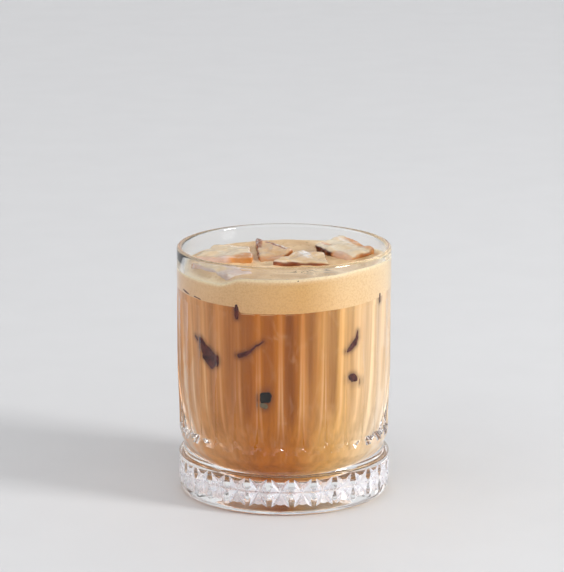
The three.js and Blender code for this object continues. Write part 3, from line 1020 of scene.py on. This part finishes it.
def foam_surface(x, y):
    """The foam's top with its soft bumps, drawn up a little where it meets the ice."""
    inwards = 1 - smoothstep(math.hypot(x, y), *BUMPS_FADE)
    bumps = 0.35 * noise.noise(Vector((x, y, 0)) * 0.15 / MM)
    bumps += 0.12 * noise.noise(Vector((x, y, 9)) * 0.5 / MM)
    nearest, block = min((block_distance(block, x, y), block) for block in ICE_BLOCKS.values())
    stands = (sum(corner[2] for corner in block[1:]) / 4) * MM - FOAM_LEVEL
    climb = min(MENISCUS_RISE, stands * MENISCUS_SHARE)
    meniscus = climb * math.exp(-(max(0.0, nearest) / MENISCUS_REACH) ** 1.3)
    return foam_top(x, y) + (bumps * MM + meniscus) * inwards


def make_foam(place):
    lower = [(inner_radius(FOAM_BASE) * share, FOAM_BASE) for share in (0, FLAT_SHARE)]
    heights = [mix(FOAM_BASE, FOAM_LEVEL, t) for t in (0, 0.25, 0.5, 0.7, 0.82, 0.9, 0.95)]
    side = [(inner_radius(z) + REACH, z) for z in heights]
    wall = inner_radius(FOAM_LEVEL) + REACH
    upper = [(wall * (1 - i / FOAM_RINGS), FOAM_LEVEL) for i in range(FOAM_RINGS + 1)]
    bm = spin_profile([*lower, *side, *upper], DRINK_COLUMNS // 2)
    # where the painted crest highlight lies: on the top near the wall, and high on the side
    crest_highlight = bm.verts.layers.float.new("crest_highlight")
    for vert in bm.verts:
        x, y, z = vert.co
        t = (z - FOAM_BASE) / (FOAM_LEVEL - FOAM_BASE)
        if t > 0.99:
            vert.co.z = foam_surface(x, y)
            vert[crest_highlight] = smoothstep(math.hypot(x, y), *CREST_HIGHLIGHT_START)
        else:
            vert.co.z = mix(foam_base(x, y) + 0.02 * MM, foam_top(x, y), t)
            vert[crest_highlight] = smoothstep(t, 0.86, 0.97)
    piece = add_object("coffee_foam", bm, foam_material(place))
    cut_round_ice(piece)
    smooth_faces(piece, DRINK_SHARP_ANGLE)
    finish_piece(piece, "foam", "foam")


def make_chips():
    """Sunk ice against the wall: flat, uneven pebbles along each chain, just into the glass."""
    purple = chip_material("sunk_ice", shade(66, 20, 18), shade(106, 44, 34))
    black = chip_material("sunk_ice_deep", shade(10, 7, 4), shade(34, 26, 16))
    grey = chip_material("sunk_ice_pale", shade(92, 88, 66), shade(132, 118, 88))
    shades = {"sunk_chip_block": black, "sunk_chip_foot": grey}
    for name, chain in SUNK_CHIPS.items():
        bm = bmesh.new()
        for (a0, z0, r0), (a1, z1, r1) in zip(chain, chain[1:]):
            length = math.hypot(math.radians(a1 - a0) * CHIP_WALL_RADIUS, z1 - z0)
            steps = max(2, math.ceil(length / (CHIP_SPACING * min(r0, r1))))
            for i in range(steps + 1):
                t = i / steps
                angle, z, size = mix(a0, a1, t), mix(z0, z1, t) * MM, mix(r0, r1, t)
                turn = Matrix.Rotation(math.radians(angle), 4, "Z")
                spot = turn @ Matrix.Translation((0, -inner_radius(z), z))
                flat = Matrix.Diagonal((size, min(CHIP_HALF_THICKNESS, size), size, 1 / MM)) * MM
                made = bmesh.ops.create_icosphere(bm, subdivisions=3, radius=1, matrix=spot @ flat)
                middle = spot.translation
                for vert in made["verts"]:
                    swell = 1 + CHIP_UNEVENNESS * noise.noise(vert.co * 1.1 / MM)
                    vert.co = middle + (vert.co - middle) * swell
        for face in bm.faces:
            face.smooth = True
        slot = "foam" if name.startswith("foam") else "coffee"
        finish_piece(add_object(name, bm, shades.get(name, purple)), slot)


def make_bubbles():
    """Small bubbles on the foam, gathered along the wall and in one place, and clear of the ice."""
    bm = bmesh.new()
    made = 0
    while made < BUBBLE_COUNT:
        angle = random.uniform(-180, 180)
        radius = random.uniform(*(OPEN_FOAM if made % 3 else WALL_FOAM)) * MM
        size = random.uniform(*BUBBLE_SIZES) * MM * (1.5 if random.random() < 0.1 else 1)
        x, y = radius * math.sin(math.radians(angle)), -radius * math.cos(math.radians(angle))
        if made % 8 == 0:
            x, y = (CLUSTER + Vector((x, y)) * CLUSTER_SHARE).to_tuple()
        if any(block_distance(block, x, y) < 0.2 for block in ICE_BLOCKS.values()):
            continue
        spot = Matrix.Translation((x, y, foam_surface(x, y) + 0.1 * size))
        bmesh.ops.create_icosphere(bm, subdivisions=2, radius=size, matrix=spot)
        made += 1
    for face in bm.faces:
        face.smooth = True
    finish_piece(add_object("foam_bubbles", bm, bubble_material()), "foam")


# Stage

def make_stage():
    """A pale floor that sweeps up into the background."""
    bm = bmesh.new()
    sweep = arc_points(SWEEP_START, FLOOR_LEVEL + SWEEP_RADIUS, SWEEP_RADIUS, -90, 0, 16)
    points = [(FLOOR_FRONT, FLOOR_LEVEL), (0.0, FLOOR_LEVEL), *sweep]
    points += [(SWEEP_START + SWEEP_RADIUS, BACKDROP_HEIGHT)]
    verts = [bm.verts.new((-FLOOR_HALF_WIDTH, y, z)) for y, z in points]
    edges = [bm.edges.new(pair) for pair in zip(verts, verts[1:])]
    swept = bmesh.ops.extrude_edge_only(bm, edges=edges)
    moved = [item for item in swept["geom"] if isinstance(item, bmesh.types.BMVert)]
    bmesh.ops.translate(bm, vec=(2 * FLOOR_HALF_WIDTH, 0, 0), verts=moved)
    bmesh.ops.recalc_face_normals(bm, faces=bm.faces)
    for face in bm.faces:
        face.smooth = True
    material, tree, shader = new_material("pale_floor", Roughness=0.7)
    grain = noise_value(tree, (1, 1, 1), 30.0, 2.0)
    paper = ramp(tree, grain, ((0.3, (0.98, 0.98, 0.98)), (0.7, (1.0, 1.0, 1.0))))
    height = object_axes(tree)["Z"]
    rise = ramp(tree, remap(tree, height, 0.0, 0.5, 0.0, 1.0), ((0.0, FLOOR_SHADE), (1.0, BACKDROP_SHADE)))
    tree.links.new(blend(tree, "MULTIPLY", 1.0, paper, rise), shader.inputs["Base Color"])
    add_object("floor", bm, material)


def make_lights():
    scene = bpy.context.scene
    world = bpy.data.worlds.new("studio")
    scene.world = world
    world.use_nodes = True
    tree = world.node_tree
    background = tree.nodes["Background"]
    background.inputs["Color"].default_value = WORLD_SHADE
    ahead = add_node(tree, "ShaderNodeTexCoord").outputs["Generated"]
    x, y, z = add_node(tree, "ShaderNodeSeparateXYZ", {0: ahead}).outputs
    front = remap(tree, y, -1.0, 0.2, WORLD_FRONT, WORLD_ROUND)
    above = remap(tree, z, 0.25, 0.9, 1.0, WORLD_ABOVE)
    left = remap(tree, x, -0.95, -0.25, WORLD_LEFT, 0.0)
    level = calc(tree, "MULTIPLY", calc(tree, "ADD", front, left), above)
    tree.links.new(level, background.inputs["Strength"])
    key = bpy.data.lights.new("key", "AREA")
    key.shape = "RECTANGLE"
    key.size = KEY_WIDTH
    key.size_y = KEY_HEIGHT
    key.energy = KEY_POWER
    lamp = bpy.data.objects.new("key", key)
    lamp.location = KEY_PLACE
    direction = Vector(KEY_AIM) - lamp.location
    lamp.rotation_euler = direction.to_track_quat("-Z", "Y").to_euler()
    scene.collection.objects.link(lamp)
    scene.view_settings.view_transform = "Standard"
    scene.cycles.max_bounces = MAX_BOUNCES
    scene.cycles.transmission_bounces = MAX_BOUNCES


glass_place = place_group()
make_stage()
make_lights()
make_glass()
make_coffee(glass_place)
make_foam(glass_place)
make_ice()
make_chips()
make_bubbles()
